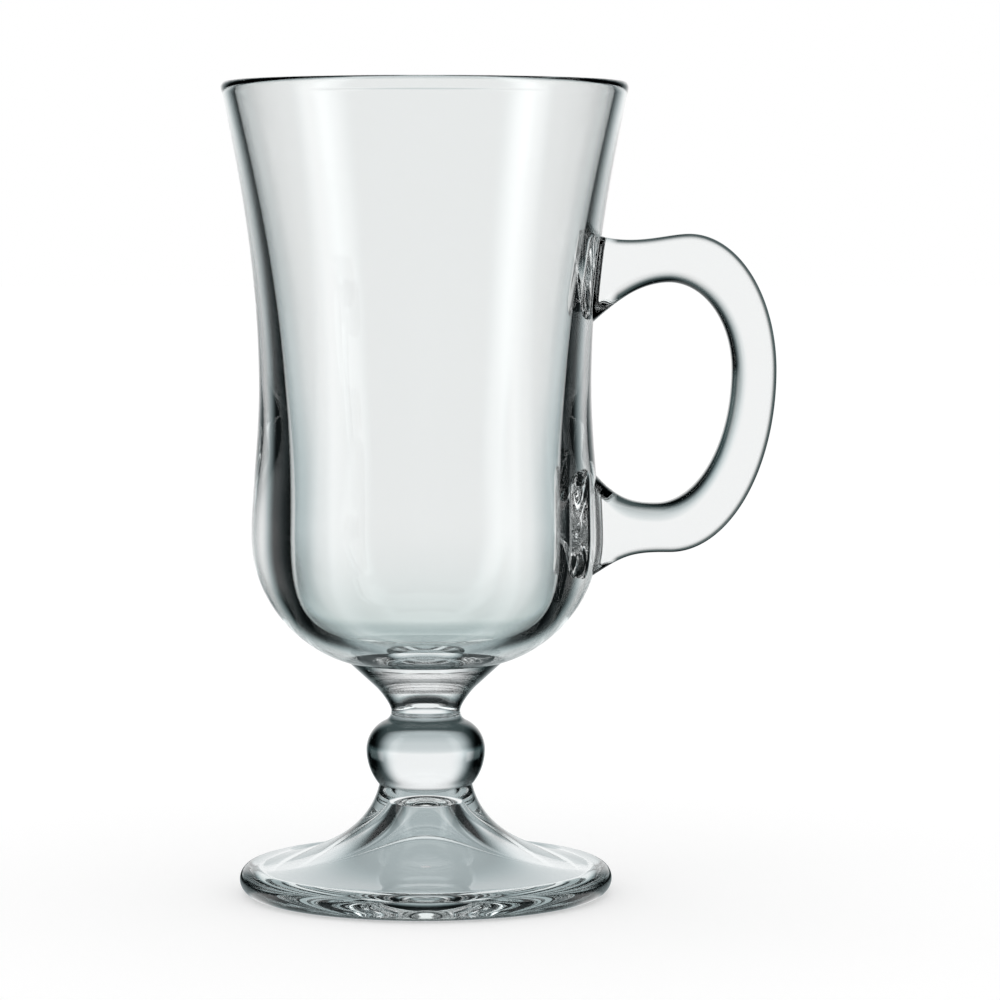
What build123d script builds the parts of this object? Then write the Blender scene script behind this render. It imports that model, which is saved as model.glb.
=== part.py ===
from build123d import *
from math import cos, radians, sin, tan
import os

# Footed glass mug for hot coffee, in millimetres, +Z up.
# The origin is the centre of the ring that the foot rests on, and the handle points along +X.
# Five pieces of pressed glass, fused face to face: foot, knop, neck, bowl and handle.

# Foot
foot_radius = 34.1
foot_height = 19.9
foot_edge_radius = 2.65
foot_slope = 7.0
foot_brim_ease = 13.3
foot_flare_out = 1.85
foot_flare_down = 8.1
ring_width = 1.9
hollow_roof = 2.7
hollow_radius = 4.6
hollow_dome = 1.5
hollow_flare_out = 2.4
hollow_flare_down = 8.0
hollow_slope = 10.0
hollow_brim_ease = 12.0

# Knop, the ball in the stem
knop_radius = 10.85
knop_height = 11.7
knop_equator = 6.4
knop_lower_seat = 8.5
knop_upper_seat = 7.4

# Neck, the conical collar under the bowl
neck_height = 10.8
neck_waist_radius = 6.3
neck_waist_height = 1.8
neck_waist_ease = 1.2
collar_radius = 9.25
collar_height = 6.4

# Bowl, outside: heights are above the seat on the neck
bowl_height = 105.6
belly_radius = 31.7
belly_height = 22.85
belly_ease_up = 8.6
belly_ease_down = 11.5
waist_inset = 1.45
waist_height = 50.35
waist_ease_up = 17.9
waist_ease_down = 9.25
rim_overhang = 5.2
rim_flare = 12.4
rim_ease = 19.8
seat_radius = 14.05
seat_angle = 15.0
seat_ease = 9.4

# Bowl, inside
lip_radius = 1.15
belly_wall = 7.0
cavity_shoulder_height = 23.6
cavity_ease_up = 40.0
cavity_ease_down = 14.0
cavity_ease_top = 22.0
floor_height = 3.1
floor_ease = 19.0

# Handle in side view: heights are from its middle, and setbacks from its outermost point
handle_height = 53.3
handle_reach = 33.5
handle_depth = 10.0
crown_rise = 24.8
crown_setback = 15.85
crown_thickness = 8.85
heel_drop = 33.0
heel_setback = 19.25
heel_thickness = 8.8
grip_thickness = 8.0
hole_crown_setback = 11.45
hole_heel_setback = 13.75
leg_ease = 4.5
root_depth = 0.9
root_ease = 8.0
upper_root_top = 25.3
upper_root_top_aim = -24.0
upper_root_bottom = 7.5
upper_root_bottom_aim = 47.0
lower_root_top = 16.4
lower_root_top_aim = -60.0
lower_root_bottom = 38.5
lower_root_bottom_aim = 46.0
outer_edge_round = 2.0
inner_edge_round = 4.0

# Heights of the fused seams and of the rim above the table
knop_seat_z = foot_height
neck_seat_z = knop_seat_z + knop_height
bowl_seat_z = neck_seat_z + neck_height
rim_z = bowl_seat_z + bowl_height

# The bottom of the bowl is a spherical cap, and the top of the neck is its print
seat_edge = (seat_radius, bowl_seat_z)
seat_bottom = (0, bowl_seat_z - seat_radius * tan(radians(seat_angle / 2)))
seat_tangent = Vector(-cos(radians(seat_angle)), -sin(radians(seat_angle)))

# Foot: a trumpet with a thick round edge, hollow underneath, resting on a flat ring
ring_outer_radius = foot_radius - foot_edge_radius
ring_inner_radius = ring_outer_radius - ring_width
brim_tilt = radians(foot_slope)
brim_upward = Vector(sin(brim_tilt), cos(brim_tilt))
brim = Vector(ring_outer_radius, foot_edge_radius) + brim_upward * foot_edge_radius
brim_inward = Vector(-cos(brim_tilt), sin(brim_tilt))
hollow_tilt = radians(hollow_slope)
hollow_inward = Vector(-cos(hollow_tilt), sin(hollow_tilt))
hollow_top = foot_height - hollow_roof
hollow_shoulder = hollow_top - hollow_dome

with BuildPart() as foot:
    with BuildSketch(Plane.XZ):
        with BuildLine():
            Line((0, hollow_top), (0, foot_height))
            Line((0, foot_height), (knop_lower_seat, foot_height))
            Bezier(
                (knop_lower_seat, foot_height),
                (knop_lower_seat + foot_flare_out, foot_height - foot_flare_down),
                brim + brim_inward * foot_brim_ease,
                brim,
            )
            ThreePointArc(brim, (foot_radius, foot_edge_radius), (ring_outer_radius, 0))
            Line((ring_outer_radius, 0), (ring_inner_radius, 0))
            Bezier(
                (ring_inner_radius, 0),
                Vector(ring_inner_radius, 0) + hollow_inward * hollow_brim_ease,
                (hollow_radius + hollow_flare_out, hollow_shoulder - hollow_flare_down),
                (hollow_radius, hollow_shoulder),
            )
            TangentArc((0, hollow_top), (hollow_radius, hollow_shoulder), tangent=(1, 0))
        make_face()
    revolve(axis=Axis.Z)

foot.part.label = "foot"

# Knop: a squat ball, rounder above its equator than below
equator = (knop_radius, knop_seat_z + knop_equator)

with BuildPart() as knop:
    with BuildSketch(Plane.XZ):
        with BuildLine():
            Line((0, neck_seat_z), (0, knop_seat_z))
            Line((0, knop_seat_z), (knop_lower_seat, knop_seat_z))
            TangentArc(equator, (knop_lower_seat, knop_seat_z), tangent=(0, -1))
            TangentArc(equator, (knop_upper_seat, neck_seat_z), tangent=(0, 1))
            Line((knop_upper_seat, neck_seat_z), (0, neck_seat_z))
        make_face()
    revolve(axis=Axis.Z)

knop.part.label = "knop"

# Neck: a cone under the bowl, drawn in to a waist above the knop
collar = Vector(collar_radius, neck_seat_z + collar_height)
cone_down = (collar - Vector(*seat_edge)).normalized()
neck_waist = Vector(neck_waist_radius, neck_seat_z + neck_waist_height)

with BuildPart() as neck:
    with BuildSketch(Plane.XZ):
        with BuildLine():
            TangentArc(seat_edge, seat_bottom, tangent=seat_tangent)
            Line(seat_bottom, (0, neck_seat_z))
            Line((0, neck_seat_z), (knop_upper_seat, neck_seat_z))
            TangentArc(neck_waist, (knop_upper_seat, neck_seat_z), tangent=(0, -1))
            Bezier(
                neck_waist,
                neck_waist + Vector(0, neck_waist_ease),
                collar + cone_down * neck_waist_ease,
                collar,
            )
            Line(collar, seat_edge)
        make_face()
    revolve(axis=Axis.Z)

neck.part.label = "neck"

# Bowl: a blank that is full at the belly, drawn in at the waist and flared at the rim, with a round lip.
# A plunger presses the inside, so it only widens upwards and the wall is thickest at the belly.
flare = radians(rim_flare)
wall_down = Vector(-sin(flare), -cos(flare))
lip_across = Vector(cos(flare), -sin(flare)) * lip_radius
lip_centre = Vector(belly_radius + rim_overhang - lip_radius, rim_z - lip_radius)
lip_outer = lip_centre + lip_across
lip_inner = lip_centre - lip_across
waist = Vector(belly_radius - waist_inset, bowl_seat_z + waist_height)
belly = Vector(belly_radius, bowl_seat_z + belly_height)
shoulder = Vector(belly_radius - belly_wall, bowl_seat_z + cavity_shoulder_height)
cavity_floor = Vector(0, bowl_seat_z + floor_height)

with BuildPart() as blank:
    with BuildSketch(Plane.XZ):
        with BuildLine():
            Bezier(lip_outer, lip_outer + wall_down * rim_ease, waist + Vector(0, waist_ease_up), waist)
            Bezier(waist, waist - Vector(0, waist_ease_down), belly + Vector(0, belly_ease_up), belly)
            Bezier(
                belly,
                belly - Vector(0, belly_ease_down),
                Vector(*seat_edge) - seat_tangent * seat_ease,
                seat_edge,
            )
            TangentArc(seat_edge, seat_bottom, tangent=seat_tangent)
            Line(seat_bottom, (0, lip_inner.Y))
            Line((0, lip_inner.Y), lip_inner)
            ThreePointArc(lip_inner, lip_centre - wall_down * lip_radius, lip_outer)
        make_face()
    revolve(axis=Axis.Z)

with BuildPart() as bowl:
    add(blank.part)
    with BuildSketch(Plane.XZ):
        with BuildLine():
            Bezier(
                cavity_floor,
                cavity_floor + Vector(floor_ease, 0),
                shoulder - Vector(0, cavity_ease_down),
                shoulder,
            )
            Bezier(
                shoulder,
                shoulder + Vector(0, cavity_ease_up),
                lip_inner + wall_down * cavity_ease_top,
                lip_inner,
            )
            Line(lip_inner, (0, lip_inner.Y))
            Line((0, lip_inner.Y), cavity_floor)
        make_face()
    revolve(axis=Axis.Z, mode=Mode.SUBTRACT)

bowl.part.label = "bowl"

# Handle: an ear of elliptical sweeps with flat sides, whose two legs widen into roots on the bowl
middle_z = bowl_seat_z + handle_height
outer_x = waist.X + handle_reach
inner_x = outer_x - grip_thickness
crown = Vector(outer_x - crown_setback, middle_z + crown_rise)
heel = Vector(outer_x - heel_setback, middle_z - heel_drop)
hole_rise = crown_rise - crown_thickness
hole_drop = heel_drop - heel_thickness
hole_crown = Vector(inner_x - hole_crown_setback, middle_z + hole_rise)
hole_heel = Vector(inner_x - hole_heel_setback, middle_z - hole_drop)
leg_run = Vector(leg_ease, 0)
quarter = 90


def leg_edge(leg_end, root_height, root_rise):
    # From a leg's level end to a point inside the wall, where the edge rises outwards by root_rise degrees
    root = Vector(waist.X - root_depth, middle_z + root_height)
    aim = Vector(cos(radians(root_rise)), sin(radians(root_rise))) * root_ease
    Bezier(leg_end, leg_end - leg_run, root + aim, root)
    return root


with BuildPart() as handle:
    with BuildSketch(Plane.XZ):
        with BuildLine():
            ear_top = leg_edge(crown, upper_root_top, upper_root_top_aim)
            EllipticalCenterArc((crown.X, middle_z), crown_setback, crown_rise, arc_size=quarter)
            heel_centre = (heel.X, middle_z)
            EllipticalCenterArc(heel_centre, heel_setback, heel_drop, start_angle=-quarter, arc_size=quarter)
            ear_bottom = leg_edge(heel, -lower_root_bottom, lower_root_bottom_aim)
            Line(ear_bottom, ear_top)
        make_face()
    extrude(amount=handle_depth / 2, both=True)
    ear_sides = handle.faces().filter_by(Axis.Y).edges().filter_by(GeomType.LINE, reverse=True)
    fillet(ear_sides, outer_edge_round)
    with BuildSketch(Plane.XZ):
        with BuildLine():
            hole_top = leg_edge(hole_crown, upper_root_bottom, upper_root_bottom_aim)
            EllipticalCenterArc((hole_crown.X, middle_z), hole_crown_setback, hole_rise, arc_size=quarter)
            hole_centre = (hole_heel.X, middle_z)
            EllipticalCenterArc(
                hole_centre, hole_heel_setback, hole_drop, start_angle=-quarter, arc_size=quarter
            )
            hole_bottom = leg_edge(hole_heel, -lower_root_top, lower_root_top_aim)
            Line(hole_bottom, hole_top)
        make_face()
    extrude(amount=handle_depth, both=True, mode=Mode.SUBTRACT)
    hole_sides = handle.faces().filter_by(Axis.Y).edges() & handle.edges(Select.LAST)
    fillet(hole_sides.filter_by(GeomType.LINE, reverse=True), inner_edge_round)
    add(blank.part, mode=Mode.SUBTRACT)

handle.part.label = "handle"

os.makedirs("parts", exist_ok=True)
for piece in (foot, knop, neck, bowl, handle):
    export_step(piece.part, f"parts/{piece.part.label}.step")
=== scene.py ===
import math
import bpy
import numpy as np
from mathutils.geometry import delaunay_2d_cdt
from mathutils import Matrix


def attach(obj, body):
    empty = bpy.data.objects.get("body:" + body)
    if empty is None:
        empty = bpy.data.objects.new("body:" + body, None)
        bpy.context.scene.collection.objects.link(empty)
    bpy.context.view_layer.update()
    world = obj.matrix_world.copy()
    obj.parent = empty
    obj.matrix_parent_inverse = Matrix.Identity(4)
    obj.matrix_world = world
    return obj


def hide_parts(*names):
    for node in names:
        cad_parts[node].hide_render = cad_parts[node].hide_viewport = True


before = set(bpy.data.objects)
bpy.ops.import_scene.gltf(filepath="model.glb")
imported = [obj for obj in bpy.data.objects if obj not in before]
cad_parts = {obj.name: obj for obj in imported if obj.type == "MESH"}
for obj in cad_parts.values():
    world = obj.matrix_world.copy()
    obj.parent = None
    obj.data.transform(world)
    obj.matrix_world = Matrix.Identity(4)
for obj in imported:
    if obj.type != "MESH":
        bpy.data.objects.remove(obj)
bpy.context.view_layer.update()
scene = bpy.context.scene
mm = 0.001
print("frame loaded:", sorted(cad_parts))

# Curves, as rows of (radius, height) in millimetres; steps is how many rows


def cubic(p0, p1, p2, p3, steps=48):
    # two end points and two handles: (1-t)^3 p0 + 3(1-t)^2 t p1 + 3(1-t) t^2 p2 + t^3 p3
    t = np.linspace(0, 1, steps)[:, None]
    p0, p1, p2, p3 = (np.asarray(p, float) for p in (p0, p1, p2, p3))
    return (1 - t) ** 3 * p0 + 3 * (1 - t) ** 2 * t * p1 + 3 * (1 - t) * t**2 * p2 + t**3 * p3


def sweptArc(start, end, heading, steps=24):
    # leaves start along heading, so its centre is on the normal there, as far from start as from end
    start, end, heading = (np.asarray(p, float) for p in (start, end, heading))
    side = np.array([-heading[1], heading[0]]) / np.hypot(*heading)
    chord = end - start
    radius = chord @ chord / (2 * chord @ side)
    centre = start + radius * side
    first, last = (np.arctan2(p[1] - centre[1], p[0] - centre[0]) for p in (start, end))
    turn = (last - first) % (2 * np.pi) if radius > 0 else -((first - last) % (2 * np.pi))
    angle = first + np.linspace(0, 1, steps) * turn
    return centre + abs(radius) * np.stack([np.cos(angle), np.sin(angle)], 1)


def straight(start, end, steps=2):
    # evenly spaced points from start to end
    t = np.linspace(0, 1, steps)[:, None]
    return np.asarray(start, float) * (1 - t) + np.asarray(end, float) * t


def joined(*runs):
    # end to end, each shared point once; a run is (points, fused), and fused marks glass that meets glass
    points = np.concatenate([runs[0][0]] + [run[1:] for run, _ in runs[1:]])
    fused = np.concatenate([np.full(len(run) - 1, flag) for run, flag in runs])
    return points, fused


fusedWeight = 1e-9    # fused segments hardly count towards the normals


def profileNormals(points, fused):
    # right-hand normal of each segment, averaged at each point with the nearer segment weighing more
    step = np.diff(points, axis=0)
    length = np.hypot(step[:, 0], step[:, 1])
    across = np.stack([step[:, 1], -step[:, 0]], 1) / length[:, None]
    weight = np.where(fused, fusedWeight, 1 / length)[:, None]
    total = np.zeros_like(points)
    total[:-1] += across * weight
    total[1:] += across * weight
    return total / np.hypot(total[:, 0], total[:, 1])[:, None]


aroundSteps = 240


def swept(rows, ring):
    # each (out, up) of rows, carried round the ring: (out cos a, out sin a, up)
    up = np.broadcast_to(rows[:, None, 1:], (len(rows), len(ring), 1))
    return np.concatenate([rows[:, None, :1] * ring, up], 2).reshape(-1, 3)


def turned(profile):
    # carries a profile and its normals round the axis, with one point for each pole
    points, fused = profile
    normals = profileNormals(points, fused)
    angle = np.arange(aroundSteps) * 2 * np.pi / aroundSteps
    ring = np.stack([np.cos(angle), np.sin(angle)], 1)
    rings = len(points) - 2
    poles = np.array([[0, 0, points[0, 1]], [0, 0, points[-1, 1]]])
    poleFacing = np.array([[0, 0, np.sign(normals[0, 1])], [0, 0, np.sign(normals[-1, 1])]])
    verts = np.concatenate([swept(points[1:-1], ring), poles])
    facings = np.concatenate([swept(normals[1:-1], ring), poleFacing])
    column = np.arange(aroundSteps)
    right = (column + 1) % aroundSteps
    row = np.arange(rings - 1)[:, None] * aroundSteps
    quads = np.stack([row + column, row + right, row + right + aroundSteps, row + column + aroundSteps], 2)
    bottom = np.stack([np.full(aroundSteps, rings * aroundSteps), right, column], 1)
    lastRow = (rings - 1) * aroundSteps
    top = np.stack([np.full(aroundSteps, rings * aroundSteps + 1), lastRow + column, lastRow + right], 1)
    return verts, facings, quads, bottom, top, fused


def makePiece(name, node, verts, facings, faces, fusedFaces):
    # a mesh at the origin, in metres, with its own normals; slot 1 is for faces where glass is fused to glass
    mesh = bpy.data.meshes.new(name)
    mesh.from_pydata((verts * mm).tolist(), [], faces)
    mesh.polygons.foreach_set("material_index", np.asarray(fusedFaces, np.int32))
    mesh.polygons.foreach_set("use_smooth", np.ones(len(faces), bool))
    mesh.materials.append(clearGlass)
    mesh.materials.append(fusedSeam)
    mesh.normals_split_custom_set_from_vertices(facings.tolist())
    mesh.update()
    piece = bpy.data.objects.new(name, mesh)
    scene.collection.objects.link(piece)
    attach(piece, "root")
    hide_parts(node)
    print("piece", name, len(verts), "points", len(faces), "faces")


def turnedPiece(name, node, profile):
    verts, facings, quads, bottom, top, fused = turned(profile)
    faces = quads.reshape(-1, 4).tolist() + bottom.tolist() + top.tolist()
    flags = np.repeat(np.concatenate([fused[1:-1], fused[[0, -1]]]), aroundSteps)
    makePiece(name, node, verts, facings, faces, flags)


# Shader maths


class Wire:
    # a socket that Python's own operators turn into Math nodes
    def __init__(self, tree, socket=None):
        self.tree = tree
        self.socket = socket

    def node(self, kind, settings=None, inputs=None, output=0):
        made = self.tree.nodes.new(kind)
        for key, value in (settings or {}).items():
            setattr(made, key, value)
        for key, value in (inputs or {}).items():
            if isinstance(value, Wire):
                self.tree.links.new(value.socket, made.inputs[key])
            else:
                made.inputs[key].default_value = value
        return Wire(self.tree, made.outputs[output])

    def math(self, operation, *values):
        return self.node("ShaderNodeMath", {"operation": operation}, dict(enumerate(values)))

    def ease(self, low, high):
        # 0 below low, 1 above high, a smooth step between
        span = {"Value": self, "From Min": low, "From Max": high}
        return self.node("ShaderNodeMapRange", {"interpolation_type": "SMOOTHSTEP"}, span)

    def between(self, low, lowFull, highFull, high):
        # 1 from lowFull to highFull, easing to 0 at low and at high
        return self.ease(low, lowFull) - self.ease(highFull, high)

    def mixed(self, share, first, second):
        # colour mix: sockets 0, 6 and 7 are the factor and the two colours, output 2 the colour
        return self.node("ShaderNodeMix", {"data_type": "RGBA"}, {0: share, 6: first, 7: second}, 2)

    def __add__(self, other): return self.math("ADD", self, other)
    def __radd__(self, other): return self.math("ADD", other, self)
    def __sub__(self, other): return self.math("SUBTRACT", self, other)
    def __rsub__(self, other): return self.math("SUBTRACT", other, self)
    def __mul__(self, other): return self.math("MULTIPLY", self, other)
    def __rmul__(self, other): return self.math("MULTIPLY", other, self)
    def __gt__(self, other): return self.math("GREATER_THAN", self, other)


def newMaterial(name):
    material = bpy.data.materials.new(name)
    material.use_nodes = True
    tree = material.node_tree
    tree.nodes.clear()
    output = tree.nodes.new("ShaderNodeOutputMaterial")
    return material, tree, output


# Glass: tints by height and radius in metres, and painted shade on edges as they turn away from the eye

glassLook = {
    "thin": (0.982, 0.992, 0.990, 1),        # walls and handle
    "base": (0.835, 0.885, 0.878, 1),        # thick floor of the bowl
    "stem": (0.950, 0.970, 0.975, 1),        # neck, knop and foot
    "trumpet": (0.980, 0.992, 0.992, 1),     # narrow part of the foot
    "edge": (0.850, 0.900, 0.900, 1),        # rim of the foot, seen end on through the whole disc
    "paintedEdgeShade": (0.020, 0.030, 0.030, 1),        # painted shade on edges that turn away from the eye
    "baseFrom": (0.040, 0.047),              # heights over which the stem tint gives way to the base tint
    "thinFrom": (0.047, 0.066),              # and the base tint to the thin one
    "edgeFrom": (0.0305, 0.0325), "edgeTop": (0.005, 0.008),
    "handleFrom": (0.0332, 0.0350), "handleTop": (0.1210, 0.1240), "handleFacing": (0.05, 0.4),
    "handleEdge": (0.01, 0.12),              # how far an edge rounds off the flat side before it darkens
    "knopSpan": (0.0195, 0.0215, 0.0320, 0.0328), "knopFacing": (0.2, 0.45),
    # knopCrown and crownLift: more painted shade on the knop's top, where it meets the neck
    "knopCrown": (0.0300, 0.0318), "crownLift": 0.25,
    # a painted dark line where the knop sits on the foot
    "seamSpan": (0.0194, 0.0199, 0.0199, 0.0204), "seamPaintedShade": 0.7,
    "trumpetSpan": (0.0090, 0.0115, 0.0185, 0.0199), "trumpetFacing": (0.45, 0.75),
    "neckSpan": (0.0325, 0.0340, 0.0430, 0.0450), "neckFacing": (0.38, 0.65),
    "rimFrom": (0.0310, 0.0325), "rimTop": (0.0036, 0.0046), "rimFacing": (0.3, 0.65),
    "evenBlend": 0.5,                        # at which Layer Weight's facing is one less the cosine
    "refraction": 1.5, "polish": 0.0,
    "waveSize": 38.0, "waveDetail": 1.0,     # noise scale, waves across a metre
    "waveHeight": 0.00002,
}


def placeOf(start):
    # object coordinates as a vector and one by one, and the distance from the axis
    place = start.node("ShaderNodeTexCoord", output="Object")
    x, y, height = (start.node("ShaderNodeSeparateXYZ", None, {"Vector": place}, axis) for axis in "XYZ")
    return place, x, y, height, start.math("SQRT", x * x + y * y)


def glassTint(s, start, height, out, onTrumpet):
    lower = start.mixed(height.ease(*s["baseFrom"]), s["stem"], s["base"])
    body = start.mixed(height.ease(*s["thinFrom"]), lower, s["thin"])
    foot = start.mixed(out.ease(*s["edgeFrom"]) * (1 - height.ease(*s["edgeTop"])), body, s["edge"])
    return start.mixed(onTrumpet, foot, s["trumpet"])


def glassPaintedShade(s, start, x, height, out, onTrumpet):
    # painted shade: the handle's rounded edges, the knop, the narrow foot, the neck and the foot's rim darken
    # as they turn away from the eye
    facing = start.node("ShaderNodeLayerWeight", None, {"Blend": s["evenBlend"]}, "Facing")
    lean = start.node("ShaderNodeTexCoord", output="Normal")
    side = start.math("ABSOLUTE", start.node("ShaderNodeSeparateXYZ", None, {"Vector": lean}, "Y"))
    rounding = (1 - side).ease(*s["handleEdge"])
    onHandle = x.ease(*s["handleFrom"]) * (1 - height.ease(*s["handleTop"])) * rounding
    onRim = out.ease(*s["rimFrom"]) * (1 - height.ease(*s["rimTop"]))
    knopFacing = facing + height.ease(*s["knopCrown"]) * s["crownLift"]
    return (
        onHandle * facing.ease(*s["handleFacing"])
        + height.between(*s["knopSpan"]) * knopFacing.ease(*s["knopFacing"])
        + onTrumpet * facing.ease(*s["trumpetFacing"])
        + height.between(*s["neckSpan"]) * facing.ease(*s["neckFacing"])
        + onRim * facing.ease(*s["rimFacing"])
        # painted dark line where the knop sits on the foot
        + height.between(*s["seamSpan"]) * s["seamPaintedShade"]
    )


def makeClearGlass(s):
    material, tree, output = newMaterial("clearGlass")
    start = Wire(tree)
    place, x, _, height, out = placeOf(start)
    onTrumpet = height.between(*s["trumpetSpan"])
    # the glass tint with the painted edge shade laid over it
    paintedEdgeShade = glassPaintedShade(s, start, x, height, out, onTrumpet)
    tint = start.mixed(paintedEdgeShade, glassTint(s, start, height, out, onTrumpet), s["paintedEdgeShade"])
    waves = {"Vector": place, "Scale": s["waveSize"], "Detail": s["waveDetail"]}
    wave = start.node("ShaderNodeTexNoise", None, waves)
    bump = start.node("ShaderNodeBump", None, {"Strength": 1.0, "Distance": s["waveHeight"], "Height": wave})
    glass = start.node("ShaderNodeBsdfPrincipled", None, {
        "Base Color": tint, "Roughness": s["polish"], "IOR": s["refraction"],
        "Transmission Weight": 1.0, "Normal": bump,
    })
    tree.links.new(glass.socket, output.inputs["Surface"])
    return material


def makeFusedSeam():
    # where two pieces are one glass there is no surface to see
    material, tree, output = newMaterial("fusedSeam")
    unseen = Wire(tree).node("ShaderNodeBsdfPrincipled", None, {"Alpha": 0.0})
    tree.links.new(unseen.socket, output.inputs["Surface"])
    return material


clearGlass = makeClearGlass(glassLook)
fusedSeam = makeFusedSeam()

# Foot, from the top of its hollow down to the ring it stands on, round the edge and up to the knop's seat

footShape = {
    "radius": 34.1, "height": 19.9, "edge": 2.65, "slope": 7.0, "brimEase": 13.3, "flare": (1.85, 8.1),
    "ring": 1.9, "roof": 2.7, "hollowRadius": 4.6, "hollowDome": 1.5, "hollowFlare": (2.4, 8.0),
    "hollowSlope": 10.0, "hollowEase": 12.0, "seat": 8.5,
}


def footProfile(s):
    ringOuter = s["radius"] - s["edge"]
    ringInner = ringOuter - s["ring"]
    tilt, under = math.radians(s["slope"]), math.radians(s["hollowSlope"])
    brim = np.array([ringOuter + s["edge"] * math.sin(tilt), s["edge"] * (1 + math.cos(tilt))])
    brimEase = brim + s["brimEase"] * np.array([-math.cos(tilt), math.sin(tilt)])
    hollowEase = np.array([ringInner, 0]) + s["hollowEase"] * np.array([-math.cos(under), math.sin(under)])
    domeTop = s["height"] - s["roof"]
    shoulder = (s["hollowRadius"], domeTop - s["hollowDome"])
    shoulderEase = (shoulder[0] + s["hollowFlare"][0], shoulder[1] - s["hollowFlare"][1])
    flareEase = (s["seat"] + s["flare"][0], s["height"] - s["flare"][1])
    dome = sweptArc((0, domeTop), shoulder, (1, 0), 20)
    hollow = cubic((ringInner, 0), hollowEase, shoulderEase, shoulder, 60)[::-1]
    edge = sweptArc((ringOuter, 0), brim, (1, 0), 32)
    top = cubic((s["seat"], s["height"]), flareEase, brimEase, brim, 72)[::-1]
    return joined(
        (dome, False), (hollow, False), (straight((ringInner, 0), (ringOuter, 0), 4), False), (edge, False),
        (top, False), (straight((s["seat"], s["height"]), (0, s["height"]), 6), True),
    )


# Knop, two arcs that meet at its equator

knopShape = {"radius": 10.85, "height": 11.7, "equator": 6.4, "upperSeat": 7.4}


def knopProfile(s, lowerSeat, seatZ):
    topZ = seatZ + s["height"]
    equator = (s["radius"], seatZ + s["equator"])
    lower = sweptArc(equator, (lowerSeat, seatZ), (0, -1), 32)[::-1]
    upper = sweptArc(equator, (s["upperSeat"], topZ), (0, 1), 28)
    return joined(
        (straight((0, seatZ), (lowerSeat, seatZ), 6), True), (lower, False), (upper, False),
        (straight((s["upperSeat"], topZ), (0, topZ), 6), True),
    )


# Neck, a cone under the bowl drawn in to a waist

neckShape = {
    "height": 10.8, "waist": 6.3, "waistHeight": 1.8, "waistEase": 1.2, "collar": 9.25, "collarHeight": 6.4,
    "seat": 14.05, "seatAngle": 15.0,
}


def seatCap(s, seatZ):
    angle = math.radians(s["seatAngle"])
    lowest = (0, seatZ - s["seat"] * math.tan(angle / 2))
    return sweptArc((s["seat"], seatZ), lowest, (-math.cos(angle), -math.sin(angle)), 14)


def neckProfile(s, lowerSeat, seatZ):
    topZ = seatZ + s["height"]
    collar = np.array([s["collar"], seatZ + s["collarHeight"]])
    seatEdge = np.array([s["seat"], topZ])
    along = (collar - seatEdge) / np.hypot(*(collar - seatEdge))
    waist = np.array([s["waist"], seatZ + s["waistHeight"]])
    root = sweptArc(waist, (lowerSeat, seatZ), (0, -1), 16)[::-1]
    throat = cubic(waist, waist + (0, s["waistEase"]), collar + along * s["waistEase"], collar, 28)
    return joined(
        (straight((0, seatZ), (lowerSeat, seatZ), 6), True), (root, False), (throat, False),
        (straight(collar, seatEdge, 14), False), (seatCap(s, topZ), True),
    )


knopZ = footShape["height"]
neckZ = knopZ + knopShape["height"]
bowlZ = neckZ + neckShape["height"]
turnedPiece("glassFoot", "foot", footProfile(footShape))
turnedPiece("glassKnop", "knop", knopProfile(knopShape, footShape["seat"], knopZ))
turnedPiece("glassNeck", "neck", neckProfile(neckShape, knopShape["upperSeat"], neckZ))

# Bowl, from its seat up the outside, over the lip and down the inside

bowlShape = {
    "height": 105.6, "belly": 31.7, "bellyHeight": 22.85, "bellyEase": (8.6, 11.5), "waistInset": 1.45,
    "waistHeight": 50.35, "waistEase": (17.9, 9.25), "overhang": 5.2, "flare": 12.4, "rimEase": 19.8,
    "seatEase": 9.4, "lip": 1.15, "wall": 7.0, "shoulderHeight": 23.6, "shoulderEase": (40.0, 14.0),
    "topEase": 22.0, "floorHeight": 3.1, "floorEase": 19.0,
}


def bowlRuns(s):
    flare = math.radians(s["flare"])
    rimZ = bowlZ + s["height"]
    down = np.array([-math.sin(flare), -math.cos(flare)])
    across = np.array([math.cos(flare), -math.sin(flare)]) * s["lip"]
    lipCentre = np.array([s["belly"] + s["overhang"] - s["lip"], rimZ - s["lip"]])
    lipOuter, lipInner = lipCentre + across, lipCentre - across
    waist = np.array([s["belly"] - s["waistInset"], bowlZ + s["waistHeight"]])
    belly = np.array([s["belly"], bowlZ + s["bellyHeight"]])
    shoulder = np.array([s["belly"] - s["wall"], bowlZ + s["shoulderHeight"]])
    floor = np.array([0, bowlZ + s["floorHeight"]])
    angle = math.radians(neckShape["seatAngle"])
    seatEdge = np.array([neckShape["seat"], bowlZ])
    seatEase = seatEdge + s["seatEase"] * np.array([math.cos(angle), math.sin(angle)])
    up = np.array([0, 1.0])
    cap = seatCap(neckShape, bowlZ)[::-1]
    outside = [
        cubic(seatEdge, seatEase, belly - up * s["bellyEase"][1], belly, 44),
        cubic(belly, belly + up * s["bellyEase"][0], waist - up * s["waistEase"][1], waist, 40),
        cubic(waist, waist + up * s["waistEase"][0], lipOuter + down * s["rimEase"], lipOuter, 60),
    ]
    lip = sweptArc(lipOuter, lipInner, -down, 20)
    inside = [
        cubic(lipInner, lipInner + down * s["topEase"], shoulder + up * s["shoulderEase"][0], shoulder, 64),
        cubic(shoulder, shoulder - up * s["shoulderEase"][1], floor + (s["floorEase"], 0), floor, 60),
    ]
    return cap, outside, lip, inside, waist[0]


bowlCap, bowlOutside, bowlLip, bowlInside, waistRadius = bowlRuns(bowlShape)
wallLine = np.concatenate([bowlOutside[0]] + [run[1:] for run in bowlOutside[1:]])


def wallRadius(z):
    return np.interp(z, wallLine[:, 1], wallLine[:, 0])


def wallX(y, z):
    return np.sqrt(wallRadius(z) ** 2 - y**2)


# Handle, an ear of quarter ellipses whose two legs run on to the wall

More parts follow.
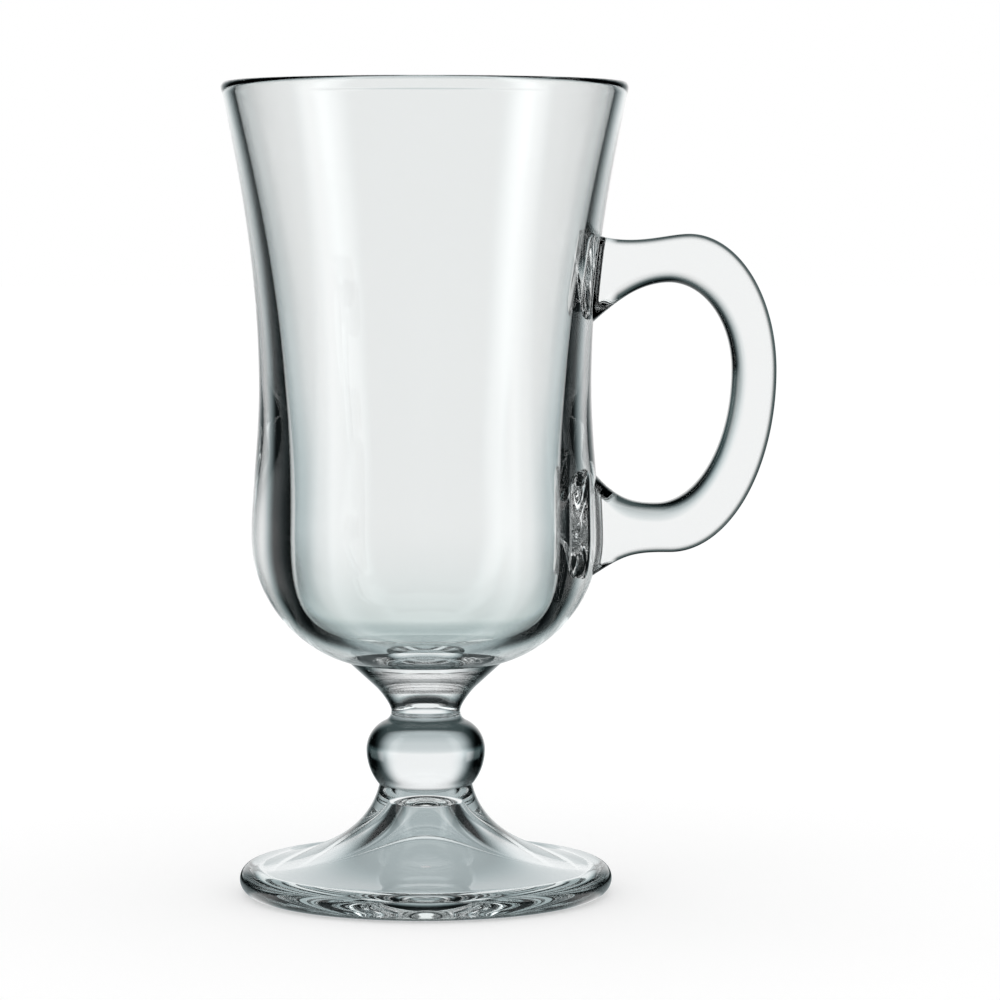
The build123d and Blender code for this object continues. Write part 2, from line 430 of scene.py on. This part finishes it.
handleShape = {
    "height": 53.3, "reach": 33.5, "depth": 10.0, "grip": 8.0,
    "crown": (15.85, 24.8), "crownThick": 8.85, "heel": (19.25, 33.0), "heelThick": 8.8,
    "holeSetback": (11.45, 13.75),
    "legEase": 4.5, "rootDepth": 0.9, "rootEase": 8.0,
    "outerRoots": ((25.3, -24.0), (-38.5, 46.0)),    # height and aim of the edge, upper leg then lower leg
    "holeRoots": ((7.5, 47.0), (-16.4, -60.0)),
    "outerRound": 2.0, "innerRound": 4.0, "rootFillet": 1.3, "settle": 8.0,
    "filletShare": 0.35,                             # share of a leg's parameter that the fillet takes
    "legSteps": 2001, "edgeSteps": 8001,             # fine curves, read by interpolation
    "filletRows": 11, "legRows": 19, "earRows": 97,
    "edgePoints": 5, "outerPoints": 9, "sidePoints": 13, "innerPoints": 13,
    "farOff": 99.0,                                  # clearance of the ear, beyond the reach of the wall
    "nudge": 1e-4, "stride": 5e-4,                   # small steps round and along it, for its normals
}


def legLine(s, end, middleZ, root):
    # cubic from a point inside the wall to the level end of a leg, cut off where it leaves the wall
    height, aim = root
    inWall = np.array([waistRadius - s["rootDepth"], middleZ + height])
    turn = math.radians(aim)
    ease = inWall + s["rootEase"] * np.array([math.cos(turn), math.sin(turn)])
    line = cubic(inWall, ease, np.asarray(end) - (s["legEase"], 0), end, s["legSteps"])
    index = np.arange(len(line))
    leaves = np.interp(0, line[:, 0] - wallRadius(line[:, 1]), index)
    keep = np.linspace(leaves, index[-1], s["legSteps"])
    return np.stack([np.interp(keep, index, line[:, k]) for k in (0, 1)], 1)


def earEdge(s, setbacks, rise, drop, outerX, roots, middleZ):
    # rows of u, x, z, right-hand normal and clearance from the wall;
    # u from 0 to 1 is the upper leg, from 1 to 3 the ear, from 3 to 4 the lower leg
    u = np.linspace(0, 4, s["edgeSteps"])
    crown = (outerX - setbacks[0], middleZ + rise)
    heel = (outerX - setbacks[1], middleZ - drop)
    turn = np.clip(u - 1, 0, 2) * np.pi / 2
    wide = np.where(turn <= np.pi / 2, setbacks[0], setbacks[1])
    tall = np.where(turn <= np.pi / 2, rise, drop)
    x = outerX - wide + wide * np.sin(turn)
    z = middleZ + tall * np.cos(turn)
    alongX, alongZ = wide * np.cos(turn), -tall * np.sin(turn)
    clear = np.full_like(u, s["farOff"])
    for end, root, part, way in ((crown, roots[0], u < 1, 1), (heel, roots[1], u > 3, -1)):
        leg = legLine(s, end, middleZ, root)
        t = np.where(u < 2, u, 4 - u)[part]
        bend = np.clip(t / s["filletShare"], 0, 1) * np.pi / 2
        even = np.clip((t - s["filletShare"]) / (1 - s["filletShare"]), 0, 1)
        clear[part] = s["rootFillet"] * (1 - np.cos(bend)) + (leg[-1, 0] - leg[0, 0] - s["rootFillet"]) * even
        x[part] = leg[0, 0] + clear[part]
        z[part] = np.interp(x[part], leg[:, 0], leg[:, 1])
        alongX[part] = way * np.interp(x[part], leg[:, 0], np.gradient(leg[:, 0]))
        alongZ[part] = way * np.interp(x[part], leg[:, 0], np.gradient(leg[:, 1]))
    size = np.hypot(alongX, alongZ)
    return np.stack([u, x, z, alongZ / size, -alongX / size, clear])


def earSection(s):
    # half the section, from the middle of the outer edge to the middle of the hole's, then the same mirrored;
    # columns: share of the way to the hole, inset from the outer edge, inset from the hole, y, sideways lean,
    # then the same five as steps onward round the section
    half, outer, inner = s["depth"] / 2, s["outerRound"], s["innerRound"]
    a, b = np.linspace(0, np.pi / 2, s["outerPoints"]), np.linspace(np.pi / 2, 0, s["innerPoints"])
    runs = [
        (0, 0, 0, np.linspace(0, half - outer, s["edgePoints"]), 0, 0, 0, 0, 1, 0),
        (0, outer * (1 - np.cos(a)), 0, half - outer + outer * np.sin(a), np.sin(a),
         0, outer * np.sin(a), 0, outer * np.cos(a), np.cos(a)),
        (np.linspace(0, 1, s["sidePoints"]), outer, inner, half, 1, 1, 0, 0, 0, 0),
        (1, 0, inner * (1 - np.cos(b)), half - inner + inner * np.sin(b), np.sin(b),
         0, 0, -inner * np.sin(b), -inner * np.cos(b), -np.cos(b)),
        (1, 0, 0, np.linspace(half - inner, 0, s["edgePoints"]), 0, 0, 0, 0, -1, 0),
    ]
    near = np.concatenate([np.stack(np.broadcast_arrays(*run), 1)[k > 0:] for k, run in enumerate(runs)])
    mirror = np.array([1, 1, 1, -1, -1, -1, -1, -1, 1, 1])
    return np.concatenate([near, (near * mirror)[-2:0:-1]])


def handleSurface(s, outerEdge, holeEdge, u, section):
    # outer edge and hole edge at u, mixed by the section's share; near the wall the sides flare by the
    # fillet's arc, rho - sqrt(rho^2 - (rho - clearance)^2), and x eases on to wall + clearance
    share, outerIn, holeIn, y, lean = section
    ox, oz, onx, onz, oc = (np.interp(u, outerEdge[0], row) for row in outerEdge[1:])
    hx, hz, hnx, hnz, hc = (np.interp(u, holeEdge[0], row) for row in holeEdge[1:])
    x = (1 - share) * (ox + onx * outerIn) + share * (hx - hnx * holeIn)
    z = (1 - share) * (oz + onz * outerIn) + share * (hz - hnz * holeIn)
    clear = (1 - share) * oc + share * hc
    rho = s["rootFillet"]
    short = np.clip(rho - clear, 0, rho)
    y = y + lean * (rho - np.sqrt(rho**2 - short**2))
    t = np.clip(clear / s["settle"], 0, 1)
    hold = t * t * (3 - 2 * t)
    x = hold * x + (1 - hold) * (wallX(y, z) + clear)
    return np.stack([x, y, z], -1)


def handleGrid(s):
    # rows along the ear, closest together on the fillets; normals from small steps along and round it
    middleZ = bowlZ + s["height"]
    outerX = waistRadius + s["reach"]
    (crownBack, rise), (heelBack, drop) = s["crown"], s["heel"]
    outerEdge = earEdge(s, (crownBack, heelBack), rise, drop, outerX, s["outerRoots"], middleZ)
    holeRise, holeDrop = rise - s["crownThick"], drop - s["heelThick"]
    holeX = outerX - s["grip"]
    holeEdge = earEdge(s, s["holeSetback"], holeRise, holeDrop, holeX, s["holeRoots"], middleZ)
    fillet = s["filletShare"]
    rootRows = np.linspace(0, fillet, s["filletRows"])[:-1]
    leg = np.concatenate([rootRows, np.linspace(fillet, 1, s["legRows"])[:-1]])
    u = np.concatenate([leg, np.linspace(1, 3, s["earRows"]), 4 - leg[::-1]])[:, None]
    section = earSection(s).T[:, None, :]
    values, steps = section[:5], section[5:] * s["nudge"]
    place = handleSurface(s, outerEdge, holeEdge, u, values)
    ahead = handleSurface(s, outerEdge, holeEdge, np.clip(u + s["stride"], 0, 4), values)
    behind = handleSurface(s, outerEdge, holeEdge, np.clip(u - s["stride"], 0, 4), values)
    onward = handleSurface(s, outerEdge, holeEdge, u, values + steps)
    back = handleSurface(s, outerEdge, holeEdge, u, values - steps)
    facing = np.cross(ahead - behind, onward - back)
    return place, facing / np.linalg.norm(facing, axis=2, keepdims=True)


handlePlace, handleFacing = handleGrid(handleShape)

# Bowl and handle meshes: a window in the turned wall is meshed anew, with edges along the handle's two roots

windowShape = {"columns": 13, "low": 52.0, "high": 126.0, "apart": 0.45, "merge": 1e-7, "insideOnly": 1}
bowlProfile = joined((bowlCap, True), *((run, False) for run in [*bowlOutside, bowlLip, *bowlInside]))
wallFacing = profileNormals(wallLine, np.zeros(len(wallLine) - 1, bool))


def flattened(points):
    # from the wall to a flat map: angle times belly radius, and height
    return np.stack([np.arctan2(points[:, 1], points[:, 0]) * bowlShape["belly"], points[:, 2]], 1)


def onWall(flat):
    # from the flat map back to the wall, with the wall's normal
    angle, z = flat[:, 0] / bowlShape["belly"], flat[:, 1]
    out, rise = (np.interp(z, wallLine[:, 1], wallFacing[:, k]) for k in (0, 1))
    radius = wallRadius(z)
    return (
        np.stack([radius * np.cos(angle), radius * np.sin(angle), z], 1),
        np.stack([out * np.cos(angle), out * np.sin(angle), rise], 1),
    )


def gridRim(grid):
    return np.concatenate([grid[0, :-1], grid[:-1, -1], grid[-1, :0:-1], grid[:0:-1, 0]])


def rootWindow(s, rows, heights, rings):
    # constrained Delaunay mesh of the window on the flat map, with the rings as edges
    columns = np.arange(-s["columns"], s["columns"] + 1)
    ids = rows[:, None] * aroundSteps + columns % aroundSteps
    flat = np.stack(np.meshgrid(columns * 2 * np.pi / aroundSteps * bowlShape["belly"], heights), 2)
    rim, rimIds = gridRim(flat), gridRim(ids)
    inner, innerIds = flat[1:-1, 1:-1].reshape(-1, 2), ids[1:-1, 1:-1].ravel()
    ringMap = np.concatenate([flattened(ring) for ring in rings])
    far = np.sqrt(((inner[:, None] - ringMap) ** 2).sum(2)).min(1) > s["apart"]
    points = np.concatenate([rim, ringMap, inner[far]])
    known = np.concatenate([rimIds, np.full(len(ringMap), -1), innerIds[far]])
    stops = np.cumsum([0, len(rim)] + [len(ring) for ring in rings])
    loops = [list(range(a, b)) for a, b in zip(stops[:-1], stops[1:])]
    turns = [np.cross(np.roll(points[loop], 1, 0), points[loop]).sum() for loop in loops]
    loops = [loop if turn > 0 else loop[::-1] for loop, turn in zip(loops, turns)]    # all anticlockwise
    cut = delaunay_2d_cdt(points.tolist(), [], loops, s["insideOnly"], s["merge"])
    faces, source, inside = np.array(cut[2]), np.array([first for first, *_ in cut[3]]), cut[5]
    return points, known, source[faces], np.array([max(loop) for loop in inside]), stops


def makeBowl(s, rows, rootMesh):
    # quads outside the window, both poles, and the window's triangles
    points, known, triangles, owner, _ = rootMesh
    verts, facings, quads, bottom, top, fused = turned(bowlProfile)
    place, facing = onWall(points)
    keep = np.ones(quads.shape[:2], bool)
    keep[np.ix_(np.arange(rows[0], rows[-1]), np.arange(-s["columns"], s["columns"]) % aroundSteps)] = False
    fresh = known < 0
    ids = known.copy()
    ids[fresh] = len(verts) + np.arange(fresh.sum())
    allVerts = np.concatenate([verts, place[fresh]])
    allFacings = np.concatenate([facings, facing[fresh]])
    parts = (quads[keep], bottom, top, ids[triangles])
    used = np.unique(np.concatenate([part.ravel() for part in parts]))
    order = np.full(len(allVerts), -1)
    order[used] = np.arange(len(used))
    faces = sum((order[part].tolist() for part in parts), [])
    flags = np.concatenate([
        np.repeat(fused[1:-1, None], aroundSteps, 1)[keep], np.repeat(fused[[0, -1]], aroundSteps), owner > 0,
    ])
    makePiece("glassBowl", "bowl", allVerts[used], allFacings[used], faces, flags)


def makeHandle(rootMesh):
    # the ear's grid, closed by the window's triangles inside each ring, turned to face the wall
    points, _, triangles, owner, stops = rootMesh
    place, facing = onWall(points)
    count, around = handlePlace.shape[:2]
    row = np.arange(count - 1)[:, None] * around
    column = np.arange(around)
    right = (column + 1) % around
    ear = np.stack([row + column, row + around + column, row + around + right, row + right], 2).reshape(-1, 4)
    ids = np.full(len(points), -1)
    ids[stops[1]:stops[2]] = column
    ids[stops[2]:stops[3]] = (count - 1) * around + column
    caps = triangles[owner > 0][:, ::-1]
    inner = np.setdiff1d(np.unique(caps), np.arange(stops[1], stops[3]))
    ids[inner] = count * around + np.arange(len(inner))
    verts = np.concatenate([handlePlace.reshape(-1, 3), place[inner]])
    facings = np.concatenate([handleFacing.reshape(-1, 3), -facing[inner]])
    flags = np.concatenate([np.zeros(len(ear), bool), np.ones(len(caps), bool)])
    makePiece("glassHandle", "handle", verts, facings, ear.tolist() + ids[caps].tolist(), flags)


inWindow = np.flatnonzero((wallLine[:, 1] > windowShape["low"]) & (wallLine[:, 1] < windowShape["high"]))
windowRows = inWindow + len(bowlCap) - 2
rootMesh = rootWindow(windowShape, windowRows, wallLine[inWindow, 1], [handlePlace[0], handlePlace[-1]])
makeBowl(windowShape, windowRows, rootMesh)
makeHandle(rootMesh)

# Stage: a pale floor, a white sky, a ring of cards that only the glass sees, and the camera of the picture

stageLook = {
    "floor": (0.6, 0.6, 0.6, 1), "floorRough": 0.9, "floorGlow": 0.43, "floorSize": 12.0, "floorDrop": 0.0002,
    "white": (1, 1, 1, 1), "sky": 1.0,
}


def stagePiece(name, mesh, material):
    mesh.materials.append(material)
    piece = bpy.data.objects.new(name, mesh)
    scene.collection.objects.link(piece)
    return piece


def makeFloor(s):
    half = s["floorSize"] / 2
    corners = [(x * half, y * half, -s["floorDrop"]) for x, y in ((-1, -1), (1, -1), (1, 1), (-1, 1))]
    mesh = bpy.data.meshes.new("floor")
    mesh.from_pydata(corners, [], [(0, 1, 2, 3)])
    material, tree, output = newMaterial("paleFloor")
    paper = Wire(tree).node("ShaderNodeBsdfPrincipled", None, {
        "Base Color": s["floor"], "Roughness": s["floorRough"], "Specular IOR Level": 0.0,
        "Emission Color": s["white"], "Emission Strength": s["floorGlow"],
    })
    tree.links.new(paper.socket, output.inputs["Surface"])
    stagePiece("floor", mesh, material)


def makeSky(s):
    world = bpy.data.worlds.new("sky")
    world.use_nodes = True
    background = world.node_tree.nodes["Background"]
    background.inputs["Color"].default_value = s["white"]
    background.inputs["Strength"].default_value = s["sky"]
    scene.world = world


# metres, and degrees turned from straight behind the glass
tentLook = {
    "radius": 0.63, "height": 1.6, "inner": 0.001, "lift": -0.0001, "segments": 180,
    "white": (1, 1, 1, 1), "black": (0, 0, 0, 1), "shade": (0.74, 0.96, 1.0, 1),
    "dark": 0.008, "top": (0.3, 0.62),
    "tableDark": 0.44, "tableFrom": (0.16, 0.3), "tableEnd": (0.0, 0.06),
    "mirrorGap": (14.0, 40.0), "bentGap": (16.5, 47.5), "deepGap": (10.0, 43.0), "deepEnd": (36.0, 41.0),
    "mirrorDepth": 0.5, "deepDepth": 2.5,    # bounces past which a ray counts as mirrored, or as bent often
    "strip": (99.0, 108.0, 116.0, 131.0), "stripGlow": 1.5,
    "window": (10.0, 15.0), "windowEvery": 45.0,
    "firstEnd": (60.0, 65.0), "firstOpen": 0.6, "firstOut": (0.3, 0.5), "firstTop": (0.05, 0.09),
    "footEnd": (0.03, 0.06),
    # under, middle and beyond: a painted shadow round the foot, half as bright under it and fading out by
    # 0.42 m
    "under": 0.5, "middle": 0.2, "middleFrom": (0.06, 0.13), "beyond": 0.28, "beyondFrom": (0.13, 0.42),
}


def tentMesh(s):
    # a disc just above the floor, and a wall that stands on its edge: rings of (radius, height)
    rings = [(s["inner"], s["lift"]), (s["radius"], s["lift"]), (s["radius"], s["height"])]
    angle = np.arange(s["segments"]) * 2 * np.pi / s["segments"]
    circle = np.stack([np.cos(angle), np.sin(angle)], 1)
    verts = np.concatenate([np.column_stack([circle * r, np.full(len(circle), z)]) for r, z in rings])
    column = np.arange(s["segments"])
    right = (column + 1) % s["segments"]
    low = np.stack([column, column + s["segments"], right + s["segments"], right], 1)
    mesh = bpy.data.meshes.new("tent")
    mesh.from_pydata(verts.tolist(), [], np.concatenate([low, low + s["segments"]]).tolist())
    return mesh


def tentDark(s, start, turn, height, out, mirrored):
    # how dark the sides are, to mirrored rays, to bent rays and to rays bent many times;
    # bent rays see a white window every 45 degrees, the first of them half open and low
    deep = start.node("ShaderNodeLightPath", output="Transmission Depth") > s["deepDepth"]
    window = 1 - start.math("PINGPONG", turn, s["windowEvery"] / 2).ease(*s["window"])
    late = turn.ease(*s["firstEnd"])
    firstOpen = out.ease(*s["firstOut"]) * (1 - height.ease(*s["firstTop"])) * s["firstOpen"]
    bentDark = turn.ease(*s["bentGap"]) * (1 - window * (late + (1 - late) * firstOpen))
    deepDark = turn.ease(*s["deepGap"]) * (1 - turn.ease(*s["deepEnd"]))
    throughDark = deep * deepDark + (1 - deep) * bentDark
    return mirrored * turn.ease(*s["mirrorGap"]) + (1 - mirrored) * throughDark


def makeTent(s):
    # cards for mirrored and bent rays only: white behind, dark at the sides and in front,
    # a bright strip on each side, and a table with a painted shadow close to the foot
    material, tree, output = newMaterial("tentCards")
    start = Wire(tree)
    _, x, y, height, out = placeOf(start)
    turn = start.math("ABSOLUTE", start.math("ARCTAN2", x, y)) * math.degrees(1)
    mirrored = start.node("ShaderNodeLightPath", output="Glossy Depth") > s["mirrorDepth"]
    sideDark = tentDark(s, start, turn, height, out, mirrored)
    light = (1 - sideDark * out.ease(*s["footEnd"])) * (1 - height.ease(*s["top"]))
    strip = mirrored * turn.between(*s["strip"])
    pale = (1 - mirrored) * (1 - height.ease(*s["tableEnd"])) * out.ease(*s["tableFrom"])
    dark = pale * (s["tableDark"] - s["dark"]) + s["dark"]
    # painted shadow: the cards grow brighter away from the foot
    near = out.ease(*s["middleFrom"]) * s["middle"] + out.ease(*s["beyondFrom"]) * s["beyond"] + s["under"]
    glow = (light * (1 - dark) + strip * s["stripGlow"] + dark) * near
    shade = start.mixed((1 - light * near) * (1 - strip), s["white"], s["shade"])
    lit = start.node("ShaderNodeVectorMath", {"operation": "SCALE"}, {"Vector": shade, "Scale": glow})
    card = start.node("ShaderNodeBsdfPrincipled", None, {
        "Base Color": s["black"], "Specular IOR Level": 0.0, "Emission Color": lit, "Emission Strength": 1.0,
    })
    tree.links.new(card.socket, output.inputs["Surface"])
    material.cycles.emission_sampling = "NONE"
    tent = stagePiece("tent", tentMesh(s), material)
    tent.visible_camera = tent.visible_diffuse = tent.visible_shadow = False


makeFloor(stageLook)
makeSky(stageLook)
makeTent(tentLook)

view = {"place": (0.0136, -0.74, 0.1245), "pitch": 4.058, "lens": 146.4, "sensor": 36.0, "clipStart": 0.01}
lens = bpy.data.cameras.new("camera")
lens.lens = view["lens"]
lens.sensor_width = view["sensor"]
lens.clip_start = view["clipStart"]
camera = bpy.data.objects.new("camera", lens)
camera.location = view["place"]
camera.rotation_euler = (math.radians(90 - view["pitch"]), 0, 0)
scene.collection.objects.link(camera)
scene.camera = camera

scene.view_settings.view_transform = "Standard"
bounces = {"max_bounces": 32, "glossy_bounces": 16, "transmission_bounces": 32, "transparent_max_bounces": 32}
for kind, count in bounces.items():
    setattr(scene.cycles, kind, count)
print("stage set")
